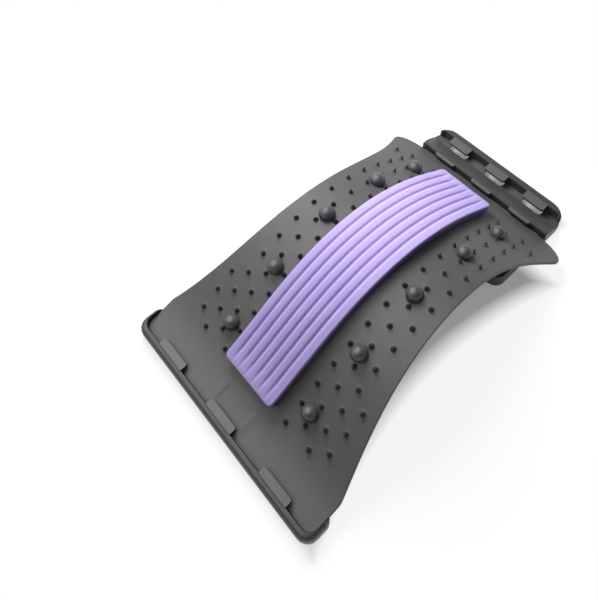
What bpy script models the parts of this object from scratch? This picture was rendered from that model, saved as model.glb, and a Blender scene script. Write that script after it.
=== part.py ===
"""Lumbar back stretcher, 407 x 250 mm: a foam pad on a bent sheet over a moulded base.

The sheet is a springy hourglass of plastic with moulded spikes and magnet beads. Its
near end is held under three hooks on the base, and its far end under one of three rows
of hooks: the row sets the height of the arch. It stands here in the middle row.

Metres, +Z up. X runs from the fixed end to the rows, Y across, and the origin is on the
floor under the middle of the base.
"""

import math

import bmesh
import bpy
import numpy as np
from mathutils import Matrix

# Base board: overall sizes
BASE_LENGTH = 0.4065
NEAR_WIDTH = 0.250
FAR_WIDTH = 0.169
WAIST_WIDTH = 0.108
CREST_CLEARANCE = 0.00046
WAIST_TOP = 0.0086
SKIN = 0.0024
RAMP_SKIN = 0.0030
RIB = 0.0020
OUTER_WALL = 0.0030
WAIST_BAYS = 5
EDGE_ROUND = 0.0022
WAIST_CORNER = 0.004
SMOOTH_BELOW = 30

# Fixed end: a rim round the sheet's end, with a shelf inside it
NEAR_DEPTH = 0.066
NEAR_STRAIGHT = 0.026
NEAR_RIM = 0.0070
NEAR_ROUND = 0.0055
NEAR_INNER_WIDTH = 0.160
SIDE_RIM = 0.0035
NEAR_CORNERS = (0.012, 0.010, 0.012)
SHELF_CORNER = 0.002
SHELF_TOP = 0.0062
RIM_FALL_START = 0.023
RIM_FALL_END = 0.033

# Adjusting end: rows of hooks, each with a trench for the sheet's end
FAR_DEPTH = 0.1130
FAR_CHAMFER = 0.0095
FAR_CORNERS = (0.005, 0.011, 0.018)
FAR_DRAFT = 0.0005
ROWS = 3
ROW_IN_USE = 1
ROW_PITCH = 0.024
FAR_RIM = 0.0082
CREST = 0.003
RAMP_SHAPE = ((0, 0), (0.3, 0.24), (0.72, 0.58), (1, 0.84))
TRENCH = 0.0105
TRENCH_END_WALL = 0.0045
TRENCH_CORNER = 0.0030
WRAP = 0.0020

# Hooks, and the openings that the mould needs under them
HOOK_RISE = 0.0006
HOOK_REACH_NEAR = 0.0080
HOOK_REACH_FAR = 0.0033
HOOK_REACH_OUTER = 0.0097
HOOK_WIDTH_NEAR = 0.035
HOOK_WIDTH_FAR = 0.026
HOOK_SPACING_NEAR = 0.075
HOOK_SPACING_FAR = 0.0505
HOOK_EDGE = 0.0006
HOOK_CORNER = 0.0020
HOOK_ROOT = 0.0025
HOOK_GAP_NEAR = 0.0038
HOOK_GAP_FAR = 0.0046
HOOK_LIFT_FAR = 0.0034
WINDOW_WIDTH = 0.0240
WINDOW_CORNER = 0.0040

# Arch sheet. Its slack is how much longer it is than the gap it bridges, which makes it rise.
SHEET_SLACK = 0.0381
SHEET_THICK = 0.0030
SHEET_EDGE = 0.0006
BEND_STEP = 0.010
SHEET_WAIST_WIDTH = 0.172
SHEET_EAR_WIDTH = 0.220
SHEET_NEAR_STRAIGHT = 0.036
SHEET_WAIST_FROM_END = 0.154
SHEET_EAR_FROM_END = 0.023
TONGUE = 0.002
EAR_CORNER = 0.018
NEAR_CORNER = 0.009
SLOPES = (6, 28, 32, 24, 5, -16, -30, -35, -27)
PANEL = (0.030, 0.040, 0.0003)
PANEL_AT = 0.019

# Spikes and beads, laid out on the flat sheet in steps counted from the pattern's middle
SPIKE_GAP = 0.0066
COLUMN_PITCH = 0.0150
PAD_GAP = 0.0078
PATTERN_MARGIN = 0.030
PATTERN_SHIFT = 0.0040
SPIKE_PROFILE = ((0.0032, -0.0008), (0.0024, 0.0018), (0.0012, 0.0035))
SPIKE_HEIGHT = 0.0041
SPIKE_SIDES = 8
OUTER_SPIKES = (-6.5, -5.5, -4.5, 6.5)
BEAD_STATIONS = (-6, -3, 0, 3, 6)
BEAD_GAP = 0.0008
BEAD_DIAMETER = 0.0160
BEAD_RISE = 0.0015
SHANK_DIAMETER = 0.0070
SHANK_END = 0.0040
CLIP_DIAMETER = 0.0130
CLIP_THICK = 0.0012
CLIP_TEETH = 6
CLIP_NOTCH = 0.55

# Foam pad and its tape
PAD_WIDTH = 0.0640
PAD_THICK = 0.0100
PAD_START = 0.0450
PAD_FROM_END = 0.0340
PAD_OFFSET = 0.0040
PAD_RIBS = 7
GROOVE_DEPTH = 0.0014
PAD_CORNER = 0.0050
PAD_EDGE = 0.0010
TAPE_THICK = 0.0008
TAPE_INSET = 0.0040

# Clearances
CONTACT = 0.0003
END_CLEARANCE = 0.0005
SIDE_CLEARANCE = 0.0005
TONGUE_CLEARANCE = 0.0015
HOLE_CLEARANCE = 0.0003
BEND_CLEARANCE = 0.0002

BLACK = (0.075, 0.078, 0.082, 1)
NEAR_X = -BASE_LENGTH / 2
FAR_X = BASE_LENGTH / 2


def clear_scene():
    for obj in list(bpy.data.objects):
        bpy.data.objects.remove(obj)


def material(name, colour, roughness, metallic=0.0):
    made = bpy.data.materials.new(name)
    made.use_nodes = True
    shader = made.node_tree.nodes["Principled BSDF"]
    shader.inputs["Base Color"].default_value = colour
    shader.inputs["Roughness"].default_value = roughness
    shader.inputs["Metallic"].default_value = metallic
    made.diffuse_color = colour
    return made


def add(name, bm, collection):
    """An object made from a bmesh, its faces turned outwards."""
    bmesh.ops.recalc_face_normals(bm, faces=bm.faces)
    mesh = bpy.data.meshes.new(name)
    bm.to_mesh(mesh)
    bm.free()
    obj = bpy.data.objects.new(name, mesh)
    collection.objects.link(obj)
    if collection is cutters:
        obj.hide_render = True
        obj.display_type = "WIRE"
    return obj


def boolean(obj, other, operation):
    modifier = obj.modifiers.new(other.name, "BOOLEAN")
    modifier.operation = operation
    modifier.solver = "EXACT"
    modifier.object = other


def smooth_below_angle():
    """A node group that shades smooth, with a crease wherever faces turn by more."""
    group = bpy.data.node_groups.new("smooth_below_angle", "GeometryNodeTree")
    for side in ("INPUT", "OUTPUT"):
        group.interface.new_socket("Geometry", in_out=side, socket_type="NodeSocketGeometry")
    start, end = (group.nodes.new("NodeGroup" + side) for side in ("Input", "Output"))
    faces, edges = (group.nodes.new("GeometryNodeSetShadeSmooth") for _ in range(2))
    edges.domain = "EDGE"
    turn = group.nodes.new("GeometryNodeInputMeshEdgeAngle")
    small = group.nodes.new("FunctionNodeCompare")
    small.operation = "LESS_THAN"
    small.inputs["B"].default_value = math.radians(SMOOTH_BELOW)
    link = group.links.new
    link(start.outputs["Geometry"], faces.inputs["Geometry"])
    link(faces.outputs["Geometry"], edges.inputs["Geometry"])
    link(turn.outputs["Unsigned Angle"], small.inputs["A"])
    link(small.outputs["Result"], edges.inputs["Shade Smooth"])
    link(edges.outputs["Geometry"], end.inputs["Geometry"])
    return group


def loft(bm, rings, closed=False):
    """Skins rings of equal count. Open lofts get a face over each end."""
    loops = [[bm.verts.new(p) for p in ring] for ring in rings]
    pairs = list(zip(loops, loops[1:]))
    if closed:
        pairs.append((loops[-1], loops[0]))
    for low, high in pairs:
        for i in range(len(low)):
            j = (i + 1) % len(low)
            bm.faces.new((low[i], low[j], high[j], high[i]))
    if not closed:
        bm.faces.new(list(reversed(loops[0])))
        bm.faces.new(loops[-1])


def outline(corners, inset=0.0, steps=5):
    """A polygon with rounded corners, moved inwards. Each corner is (x, y, radius), anticlockwise."""
    points = []
    for i, (x, y, radius) in enumerate(corners):
        here = np.array((x, y))
        back = np.array(corners[i - 1][:2]) - here
        ahead = np.array(corners[(i + 1) % len(corners)][:2]) - here
        back, ahead = back / np.linalg.norm(back), ahead / np.linalg.norm(ahead)
        half = math.acos(np.clip(back @ ahead, -1, 1)) / 2
        bisector = (back + ahead) / np.linalg.norm(back + ahead)
        turn = np.sign(ahead[0] * back[1] - ahead[1] * back[0])
        centre = here + bisector * radius / math.sin(half)
        rounding = radius - turn * inset
        start = math.atan2(*reversed(-bisector)) - turn * (math.pi / 2 - half)
        for k in range(steps + 1):
            angle = start + turn * (math.pi - 2 * half) * k / steps
            points.append(centre + rounding * np.array((math.cos(angle), math.sin(angle))))
    return points


def board(bm, corners, upper_corners, top, rounding):
    """A slab on the floor with rounded corners and a rounded upper edge."""
    rings = [[(x, y, 0) for x, y in outline(corners)]]
    for k in range(5):
        angle = math.pi / 2 * k / 4
        inset = rounding * (1 - math.cos(angle))
        z = top - rounding * (1 - math.sin(angle))
        rings.append([(x, y, z) for x, y in outline(upper_corners, inset)])
    loft(bm, rings)


def mirrored(corners):
    """The whole outline from its corners on the -Y side, listed from -X to +X."""
    return list(corners) + [(x, -y, r) for x, y, r in reversed(corners)]


def prism(bm, profile, y_low, y_high):
    """An (x, z) profile drawn across the base."""
    loft(bm, [[(x, y, z) for x, z in profile] for y in (y_low, y_high)])


def hook(bm, profile, middle, width):
    """A hook along Y whose tip has rounded corners. The profile is a function of its reach."""
    side = []
    for k in range(5):
        angle = math.pi / 2 * k / 4
        side.append((HOOK_CORNER * (1 - math.cos(angle)) - width / 2,
                     HOOK_CORNER * (1 - math.sin(angle))))
    side += [(-y, short) for y, short in reversed(side)]
    loft(bm, [[(x, middle + y, z) for x, z in profile(short)] for y, short in side])


def slope_at(u):
    """The sheet's slope at a share u of its length, as a smooth curve through SLOPES."""
    at = min(max(u, 0), 1) * (len(SLOPES) - 1)
    i = min(int(at), len(SLOPES) - 2)
    t = at - i
    a, b, c, d = (SLOPES[min(max(i + k, 0), len(SLOPES) - 1)] for k in (-1, 0, 1, 2))
    bend = 2 * b + (c - a) * t + (2 * a - 5 * b + 4 * c - d) * t**2
    return math.radians((bend + (3 * b - 3 * c + d - a) * t**3) / 2)


def hook_tip(row):
    """X of the tips of a row's hooks. Row 0 is the outermost, and its hooks reach in from the rim."""
    return FAR_X - FAR_RIM - HOOK_REACH_OUTER - ROW_PITCH * row


def row_wall(row):
    """X of the wall that a row's hooks stand on, which stops the sheet's end."""
    return hook_tip(row) + (HOOK_REACH_FAR if row else HOOK_REACH_OUTER)


def crest_end(row):
    """X where the crest before a row's trench ends and its ramp begins."""
    return hook_tip(row) + HOOK_REACH_FAR - ROW_PITCH + CREST


def bent_sheet():
    """Where the middle of the sheet's thickness runs: (s, x, z, slope) arrays.

    The slopes are scaled until the sheet's ends meet the shelf and the row in use,
    and turned until both ends are at one height.
    """
    s = np.linspace(0, SHEET_LENGTH, 801)
    slopes = np.array([slope_at(v) for v in s / SHEET_LENGTH])
    start = NEAR_X + NEAR_RIM + END_CLEARANCE
    end_lean = SHEET_THICK / 2 * math.sin(math.radians(-SLOPES[-1]))
    span = row_wall(ROW_IN_USE) - END_CLEARANCE - end_lean - start

    def walk(theta):
        middle = (theta[1:] + theta[:-1]) / 2
        step = s[1] - s[0]
        x = np.concatenate([[0], np.cumsum(np.cos(middle) * step)])
        z = np.concatenate([[0], np.cumsum(np.sin(middle) * step)])
        return x, z

    low, high = 0.2, 2.5
    for _ in range(50):
        scale = (low + high) / 2
        theta = slopes * scale
        x, z = walk(theta)
        theta = theta - math.atan2(z[-1], x[-1])
        x, z = walk(theta)
        low, high = (scale, high) if x[-1] > span else (low, scale)
    return s, x + start, z + SHELF_TOP + CONTACT + SHEET_THICK / 2, theta


def under_sheet(x):
    """Height of the sheet's underside over a place on the base."""
    lean = SHEET_THICK / 2 * np.sin(SHEET[3])
    return np.interp(x, SHEET[1] + lean, SHEET[2] - SHEET_THICK / 2 * np.cos(SHEET[3]))


# Sizes that follow from others: the sheet fits inside both rims and spans from the shelf to
# the row in use, the base stays under it, and the pattern keeps clear of the pad and the beads.
# The sheet's length and the base's height are rounded to a tenth of a millimetre.
SHEET_LENGTH = round(row_wall(ROW_IN_USE) - NEAR_X - NEAR_RIM + SHEET_SLACK, 4)
SHEET_NEAR_WIDTH = NEAR_WIDTH - 2 * (SIDE_RIM + SIDE_CLEARANCE)
SHEET_TONGUE_WIDTH = FAR_WIDTH - 2 * (FAR_DRAFT + TRENCH_END_WALL + TONGUE_CLEARANCE)
SHEET_WAIST_AT = SHEET_LENGTH - SHEET_WAIST_FROM_END
SHEET_EAR_AT = SHEET_LENGTH - SHEET_EAR_FROM_END
PAD_END = SHEET_LENGTH - PAD_FROM_END
FIRST_COLUMN = PAD_WIDTH / 2 + PAD_OFFSET + PAD_GAP
SPIKE_PITCH = BEAD_DIAMETER + SPIKE_GAP
BEAD_COLUMN = FIRST_COLUMN + SPIKE_PROFILE[1][0] + BEAD_GAP + BEAD_DIAMETER / 2
SPIKE_STEPS = int((SHEET_LENGTH / 2 - PATTERN_SHIFT - PATTERN_MARGIN) / SPIKE_PITCH)
SHEET = bent_sheet()
BLOCK_TOP = round(under_sheet(crest_end(ROW_IN_USE)) - CREST_CLEARANCE, 4)


def on_sheet(s, y, n):
    """The point n above the middle of the bent sheet, s along it and y across."""
    x, z, slope = (np.interp(s, SHEET[0], SHEET[k]) for k in (1, 2, 3))
    return (x - math.sin(slope) * n, y, z + math.cos(slope) * n)


def stand_on_sheet(s, y):
    """A matrix at the middle of the sheet, its Z along the sheet's normal."""
    slope = np.interp(s, SHEET[0], SHEET[3])
    return Matrix.Translation(on_sheet(s, y, 0)) @ Matrix.Rotation(-slope, 4, "Y")


def half_width(s):
    """Half the sheet's width: an hourglass, with rounded near corners and rounded ears."""
    near, waist, ear, tongue = (
        w / 2 for w in (SHEET_NEAR_WIDTH, SHEET_WAIST_WIDTH, SHEET_EAR_WIDTH, SHEET_TONGUE_WIDTH)
    )
    if s <= SHEET_WAIST_AT:
        t = (s - SHEET_NEAR_STRAIGHT) / (SHEET_WAIST_AT - SHEET_NEAR_STRAIGHT)
        width = waist + (near - waist) * (1 - max(t, 0)) ** 2
    else:
        t = (s - SHEET_WAIST_AT) / (SHEET_EAR_AT - SHEET_WAIST_AT)
        width = waist + (ear - waist) * min(t, 1) ** 2.3
    if s < NEAR_CORNER:
        width -= NEAR_CORNER - math.sqrt(NEAR_CORNER**2 - (NEAR_CORNER - s) ** 2)
    left = SHEET_LENGTH - s
    if left <= TONGUE:
        return tongue
    if left < TONGUE + EAR_CORNER:
        t = 1 - (left - TONGUE) / EAR_CORNER
        width = min(width, tongue + (ear - tongue) * math.sqrt(1 - t**2))
    return width


def stations_between(low, high):
    """Shared steps along the sheet, so that pieces lying on each other bend alike."""
    steps = np.arange(BEND_STEP, SHEET_LENGTH, BEND_STEP)
    return [low] + [s for s in steps if low + BEND_STEP / 4 < s < high - BEND_STEP / 4] + [high]


def sheet_stations():
    """Places along the sheet for its cross-sections, closer where its outline turns."""
    near = [NEAR_CORNER * (1 - math.cos(math.pi / 2 * k / 5)) for k in range(5)]
    ear_start = SHEET_LENGTH - TONGUE - EAR_CORNER
    ear = [ear_start + EAR_CORNER * math.sin(math.pi / 2 * k / 7) for k in range(1, 8)]
    return near + stations_between(NEAR_CORNER, ear_start) + ear + [SHEET_LENGTH]


def slab_on_sheet(bm, stations, width_at, low, high, edge, middle=0.0):
    """A slab that follows the bent sheet between heights low and high above its middle."""
    rings = []
    for s in stations:
        w = width_at(s)
        section = [
            (-w + edge, low), (w - edge, low), (w, low + edge), (w, high - edge),
            (w - edge, high), (edge - w, high), (-w, high - edge), (-w, low + edge),
        ]
        rings.append([on_sheet(s, middle + y, n) for y, n in section])
    loft(bm, rings)


def step_place(step):
    """Where a step of the pattern lies along the sheet."""
    return SHEET_LENGTH / 2 + PATTERN_SHIFT + step * SPIKE_PITCH


def spike_places():
    """(s, y) of every spike: even columns on whole steps, odd ones half a step on."""
    for column in range(4):
        if column == 3:
            steps = OUTER_SPIKES
        else:
            half = column % 2 / 2
            steps = [k + half for k in range(-SPIKE_STEPS, SPIKE_STEPS + 1 - column % 2)]
        for step in steps:
            for side in (-1, 1):
                yield step_place(step), side * (FIRST_COLUMN + column * COLUMN_PITCH)


def bead_places():
    """(name, s, y) of every bead, numbered from the fixed end."""
    for number, step in enumerate(BEAD_STATIONS, 1):
        for side, y in (("left", BEAD_COLUMN), ("right", -BEAD_COLUMN)):
            yield f"{number}_{side}", step_place(step), y


def add_spikes(bm):
    for s, y in spike_places():
        place = stand_on_sheet(s, y)
        top = SHEET_THICK / 2
        rings = []
        for radius, height in SPIKE_PROFILE:
            ring = []
            for k in range(SPIKE_SIDES):
                angle = 2 * math.pi * (k + 0.5) / SPIKE_SIDES
                at = Matrix.Translation((radius * math.cos(angle), radius * math.sin(angle), 0))
                ring.append((place @ at @ Matrix.Translation((0, 0, top + height))).translation)
            rings.append([bm.verts.new(p) for p in ring])
        tip = bm.verts.new((place @ Matrix.Translation((0, 0, top + SPIKE_HEIGHT))).translation)
        for low, high in zip(rings, rings[1:]):
            for i in range(SPIKE_SIDES):
                j = (i + 1) % SPIKE_SIDES
                bm.faces.new((low[i], low[j], high[j], high[i]))
        for i in range(SPIKE_SIDES):
            bm.faces.new((rings[-1][i], rings[-1][(i + 1) % SPIKE_SIDES], tip))
        bm.faces.new(list(reversed(rings[0])))


def build_arch():
    bm = bmesh.new()
    half = SHEET_THICK / 2
    slab_on_sheet(bm, sheet_stations(), half_width, -half, half, SHEET_EDGE)
    arch = add("arch_board", bm, parts)

    bm = bmesh.new()
    length, width, rise = PANEL
    stations = np.linspace(PANEL_AT - length / 2, PANEL_AT + length / 2, 5)
    slab_on_sheet(bm, stations, lambda s: width / 2, half / 2, half + rise, rise / 2)
    boolean(arch, add("arch_panel", bm, cutters), "UNION")

    bm = bmesh.new()
    add_spikes(bm)
    boolean(arch, add("arch_spikes", bm, cutters), "UNION")

    bm = bmesh.new()
    radius = SHANK_DIAMETER / 2 + HOLE_CLEARANCE
    for _, s, y in bead_places():
        bmesh.ops.create_cone(
            bm, cap_ends=True, segments=16, radius1=radius, radius2=radius,
            depth=SHEET_THICK * 3, matrix=stand_on_sheet(s, y),
        )
    boolean(arch, add("arch_holes", bm, cutters), "DIFFERENCE")
    return arch


def build_bead(name, s, y):
    """A ball-topped magnet with a flat seat and a shank through the sheet."""
    radius = BEAD_DIAMETER / 2
    seat = SHEET_THICK / 2 + CONTACT
    centre = seat + BEAD_RISE
    low = math.asin(BEAD_RISE / radius)
    profile = [(0, centre + radius)]
    for k in range(1, 8):
        angle = math.pi / 2 - (math.pi / 2 + low) * k / 7
        profile.append((radius * math.cos(angle), centre + radius * math.sin(angle)))
    shank = SHANK_DIAMETER / 2
    end = -SHEET_THICK / 2 - SHANK_END
    profile += [(shank, seat), (shank, end + HOOK_EDGE), (shank - HOOK_EDGE, end), (0, end)]
    mesh = bpy.data.meshes.new("magnet_bead_" + name)
    mesh.from_pydata([(r, 0, z) for r, z in profile],
                     [(i, i + 1) for i in range(len(profile) - 1)], [])
    bead = bpy.data.objects.new(mesh.name, mesh)
    parts.objects.link(bead)
    turn = bead.modifiers.new("turn", "SCREW")
    turn.steps = turn.render_steps = 18
    turn.use_smooth_shade = True
    turn.use_merge_vertices = True
    turn.merge_threshold = 1e-5
    turn.use_normal_calculate = True
    bead.matrix_world = stand_on_sheet(s, y)
    return bead


def build_clip(name, s, y):
    """A push-on washer whose teeth grip the bead's shank under the sheet."""
    outer = CLIP_DIAMETER / 2
    grip = SHANK_DIAMETER / 2 + HOLE_CLEARANCE
    top = -SHEET_THICK / 2 - CONTACT - BEND_CLEARANCE
    count = CLIP_TEETH * 3
    loops = []
    for z, toothed in ((top, False), (top - CLIP_THICK, False),
                       (top - CLIP_THICK, True), (top, True)):
        ring = []
        for k in range(count):
            angle = 2 * math.pi * k / count
            gap = k % 3 == 0
            radius = (grip + (outer - grip) * CLIP_NOTCH * gap) if toothed else outer
            ring.append((radius * math.cos(angle), radius * math.sin(angle), z))
        loops.append(ring)
    bm = bmesh.new()
    loft(bm, loops, closed=True)
    clip = add("bead_clip_" + name, bm, parts)
    clip.matrix_world = stand_on_sheet(s, y)
    return clip


def pad_half_width(s):
    """Half the pad's width: straight sides with rounded corners."""
    half = PAD_WIDTH / 2
    near = min(s - PAD_START, PAD_END - s)
    if near >= PAD_CORNER:
        return half
    return half - PAD_CORNER + math.sqrt(max(PAD_CORNER**2 - (PAD_CORNER - near) ** 2, 0))


def pad_section(s):
    """(y, height) round the pad: upright sides, a small rounding, and flat ribs above."""
    half = pad_half_width(s)
    near = min(s - PAD_START, PAD_END - s)
    top = PAD_THICK - max(0, PAD_EDGE - near)
    corner = PAD_EDGE * (1 - math.sqrt(0.5))
    section = [(half, 0), (half, top - PAD_EDGE), (half - corner, top - corner)]
    count = PAD_RIBS * 3
    for k in range(count + 1):
        groove = GROOVE_DEPTH if k % 3 == 0 and 0 < k < count else 0
        section.append(((half - PAD_EDGE) * (1 - 2 * k / count), top - groove))
    section += [(-y, h) for y, h in reversed(section[:3])]
    return section


def build_pad():
    corner = [PAD_CORNER * (1 - math.cos(math.pi / 2 * k / 4)) for k in range(4)]
    stations = [PAD_START + c for c in corner]
    stations += stations_between(PAD_START + PAD_CORNER, PAD_END - PAD_CORNER)
    stations += [PAD_END - c for c in reversed(corner)]
    base = SHEET_THICK / 2 + TAPE_THICK + 2 * CONTACT
    bm = bmesh.new()
    loft(bm, [[on_sheet(s, PAD_OFFSET + y, base + h) for y, h in pad_section(s)]
              for s in stations])
    pad = add("foam_pad", bm, parts)

    bm = bmesh.new()
    low = SHEET_THICK / 2 + CONTACT
    stations = stations_between(PAD_START + TAPE_INSET, PAD_END - TAPE_INSET)
    width = PAD_WIDTH / 2 - TAPE_INSET
    slab_on_sheet(bm, stations, lambda s: width, low, low + TAPE_THICK, TAPE_THICK / 4, PAD_OFFSET)
    return pad, add("pad_tape", bm, parts)


def hook_middles(spacing):
    return [-spacing, 0, spacing]


def cells(width, ribs):
    """Spans of Y between the ribs that run along under the base."""
    edges = [-width / 2] + [e for y in ribs for e in (y - RIB / 2, y + RIB / 2)] + [width / 2]
    return list(zip(edges[::2], edges[1::2]))


def near_corners():
    inner = NEAR_X + NEAR_DEPTH
    return mirrored([
        (NEAR_X, -NEAR_WIDTH / 2, NEAR_CORNERS[0]),
        (NEAR_X + NEAR_STRAIGHT, -NEAR_WIDTH / 2, NEAR_CORNERS[1]),
        (inner, -NEAR_INNER_WIDTH / 2, NEAR_CORNERS[2]),
    ])


def far_corners(draft):
    """The far block's outline, its sides drawn in by the draft of the mould."""
    inner = FAR_X - FAR_DEPTH
    side = FAR_WIDTH / 2 - draft
    return mirrored([
        (inner - FAR_CHAMFER, -WAIST_WIDTH / 2 + EDGE_ROUND * 2, FAR_CORNERS[0]),
        (inner, -side, FAR_CORNERS[1]),
        (FAR_X, -side, FAR_CORNERS[2]),
    ])


def ramp(row):
    """(x, z) down from a crest to the trench before a row's wall."""
    wall = row_wall(row)
    start = crest_end(row)
    run, drop = wall - TRENCH - start, BLOCK_TOP - SHELF_TOP
    return [(start + run * a, BLOCK_TOP - drop * b) for a, b in RAMP_SHAPE]


def cut_trenches():
    """Ramps and trenches across the far block, open at the sides for the sheet's ears.

    The rim wraps round the ends of the outermost trench.
    """
    bm = bmesh.new()
    above = BLOCK_TOP + 2 * HOOK_RISE
    reach = FAR_WIDTH
    for row in range(ROWS):
        wall = row_wall(row)
        stop = wall - (WRAP if row == 0 else 0)
        slope = ramp(row)
        profile = [(slope[0][0], above)] + slope
        profile += [(wall - TRENCH, SHELF_TOP), (stop, SHELF_TOP), (stop, above)]
        prism(bm, profile, -reach, reach)
    trenches = add("base_trenches", bm, cutters)
    bm = bmesh.new()
    wall = row_wall(0)
    start, end = wall - TRENCH, FAR_WIDTH / 2 - FAR_DRAFT - TRENCH_END_WALL
    corners = [(start, -end, SHELF_CORNER), (wall, -end, TRENCH_CORNER),
               (wall, end, TRENCH_CORNER), (start, end, SHELF_CORNER)]
    loft(bm, [[(x, y, z) for x, y in outline(corners)] for z in (SHELF_TOP, above)])
    return trenches, add("base_outer_trench", bm, cutters)


def cut_shelf():
    """Clears the sheet's end inside the rim, and lets the rim fall to the waist's height."""
    above = BLOCK_TOP + 2 * HOOK_RISE
    half = NEAR_WIDTH / 2 - SIDE_RIM
    rim_x = NEAR_X + NEAR_RIM
    end = NEAR_X + RIM_FALL_END
    corners = [(rim_x, -half, NEAR_CORNER), (end, -half, SHELF_CORNER),
               (end, half, SHELF_CORNER), (rim_x, half, NEAR_CORNER)]
    bm = bmesh.new()
    loft(bm, [[(x, y, z) for x, y in outline(corners)] for z in (SHELF_TOP, above)])
    shelf = add("base_shelf", bm, cutters)
    bm = bmesh.new()
    back = NEAR_X + 2 * NEAR_DEPTH
    profile = [(NEAR_X + RIM_FALL_START, above), (NEAR_X + RIM_FALL_START, BLOCK_TOP),
               (end, WAIST_TOP), (back, WAIST_TOP), (back, above)]
    prism(bm, profile, -NEAR_WIDTH, NEAR_WIDTH)
    return shelf, add("base_rim_fall", bm, cutters)


def add_hooks():
    bm = bmesh.new()
    top = BLOCK_TOP + HOOK_RISE
    rim = NEAR_X + NEAR_RIM
    under_near = SHELF_TOP + SHEET_THICK + HOOK_GAP_NEAR / 2
    under_far = SHELF_TOP + HOOK_GAP_FAR

    def near_profile(short):
        tip = rim + HOOK_REACH_NEAR - short
        return [(rim - HOOK_ROOT, under_near), (tip - HOOK_EDGE, under_near),
                (tip, under_near + HOOK_EDGE), (tip, top - HOOK_EDGE), (tip - HOOK_EDGE, top),
                (rim, top), (rim - HOOK_ROOT, BLOCK_TOP - HOOK_EDGE)]

    for y in hook_middles(HOOK_SPACING_NEAR):
        hook(bm, near_profile, y, HOOK_WIDTH_NEAR)
    for row in range(ROWS):
        wall = row_wall(row)

        def far_profile(short):
            tip = hook_tip(row) + short
            return [(wall + HOOK_ROOT, under_far), (wall, under_far), (tip, under_far + HOOK_LIFT_FAR),
                    (tip, top - HOOK_EDGE), (tip + HOOK_EDGE, top), (wall, top),
                    (wall + HOOK_ROOT, BLOCK_TOP - HOOK_EDGE)]

        for y in hook_middles(HOOK_SPACING_FAR):
            hook(bm, far_profile, y, HOOK_WIDTH_FAR)
    return add("base_hooks", bm, cutters)


def kept_inside(pockets, corners, upper_corners):
    """Leaves the outer wall of a block standing round the pockets under it."""
    bm = bmesh.new()
    loft(bm, [[(x, y, z) for x, y in outline(low_or_high, OUTER_WALL)]
              for z, low_or_high in ((-BLOCK_TOP, corners), (0, corners), (BLOCK_TOP, upper_corners))])
    boolean(pockets, add(pockets.name + "_limit", bm, cutters), "INTERSECT")
    return pockets


def near_pockets(under):
    bm = bmesh.new()
    shelf_ceiling = SHELF_TOP - SKIN
    start = NEAR_X
    middle = NEAR_X + NEAR_STRAIGHT + RIB
    rib_y = (HOOK_SPACING_NEAR - RIB) / 2
    for low, high in cells(NEAR_WIDTH, (-rib_y, rib_y)):
        prism(bm, [(start, under), (middle, under), (middle, shelf_ceiling),
                   (start, shelf_ceiling)], low, high)
    inner = NEAR_X + NEAR_DEPTH
    shelf_end = NEAR_X + RIM_FALL_END + SKIN
    for low, high in cells(NEAR_WIDTH, (-rib_y, rib_y)):
        prism(bm, [(middle + RIB, under), (inner, under), (inner, WAIST_TOP - SKIN),
                   (shelf_end, WAIST_TOP - SKIN), (shelf_end, shelf_ceiling),
                   (middle + RIB, shelf_ceiling)], low, high)

    pockets = add("base_near_pockets", bm, cutters)
    return kept_inside(pockets, near_corners(), near_corners())


def waist_pockets(under):
    bm = bmesh.new()
    start, end = NEAR_X + NEAR_DEPTH, FAR_X - FAR_DEPTH
    bay = (end - start) / WAIST_BAYS
    for k in range(WAIST_BAYS):
        low_x, high_x = start + bay * k + RIB / 2, start + bay * (k + 1) - RIB / 2
        for low, high in cells(WAIST_WIDTH - 2 * OUTER_WALL, (-WAIST_WIDTH / 6, WAIST_WIDTH / 6)):
            prism(bm, [(low_x, under), (high_x, under), (high_x, WAIST_TOP - SKIN),
                       (low_x, WAIST_TOP - SKIN)], low, high)

    return add("base_waist_pockets", bm, cutters)


def far_pockets(under):
    bm = bmesh.new()
    deck = FAR_X - FAR_DEPTH + RIB / 2
    shelf_ceiling = SHELF_TOP - SKIN
    profile = [(deck, under), (deck, BLOCK_TOP - SKIN)]
    for row in reversed(range(ROWS)):
        wall = row_wall(row)
        foot = wall - TRENCH - SKIN
        profile += [(min(x, foot), z - RAMP_SKIN) for x, z in ramp(row)]
        profile.append((foot, shelf_ceiling))
        if row:
            profile += [(wall + SKIN, shelf_ceiling), (wall + SKIN, BLOCK_TOP - SKIN)]
    profile += [(FAR_X, shelf_ceiling), (FAR_X, under)]
    rib_y = HOOK_SPACING_FAR / 2
    for low, high in cells(FAR_WIDTH, (-rib_y, rib_y)):
        prism(bm, profile, low, high)
    pockets = add("base_far_pockets", bm, cutters)
    return kept_inside(pockets, far_corners(0), far_corners(FAR_DRAFT))


def cut_windows():
    """Openings in the shelf and the trenches under every hook."""
    bm = bmesh.new()
    low, high = SHELF_TOP - 2 * SKIN, SHELF_TOP + SKIN / 2

    def window(x_low, x_high, y, width):
        front = min(WINDOW_CORNER, (x_high - x_low) / 2)
        corners = [(x_low, y - width / 2, front), (x_high, y - width / 2, HOOK_EDGE),
                   (x_high, y + width / 2, HOOK_EDGE), (x_low, y + width / 2, front)]
        loft(bm, [[(a, b, z) for a, b in outline(corners)] for z in (low, high)])

    rim = NEAR_X + NEAR_RIM
    for y in hook_middles(HOOK_SPACING_NEAR):
        window(rim + RIB / 2, rim + HOOK_REACH_NEAR + RIB / 2, y, HOOK_WIDTH_NEAR - RIB)
    for row in range(ROWS):
        wall = row_wall(row)
        for y in hook_middles(HOOK_SPACING_FAR):
            window(hook_tip(row), wall - RIB / 2, y, WINDOW_WIDTH)
    return add("base_windows", bm, cutters)


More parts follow.
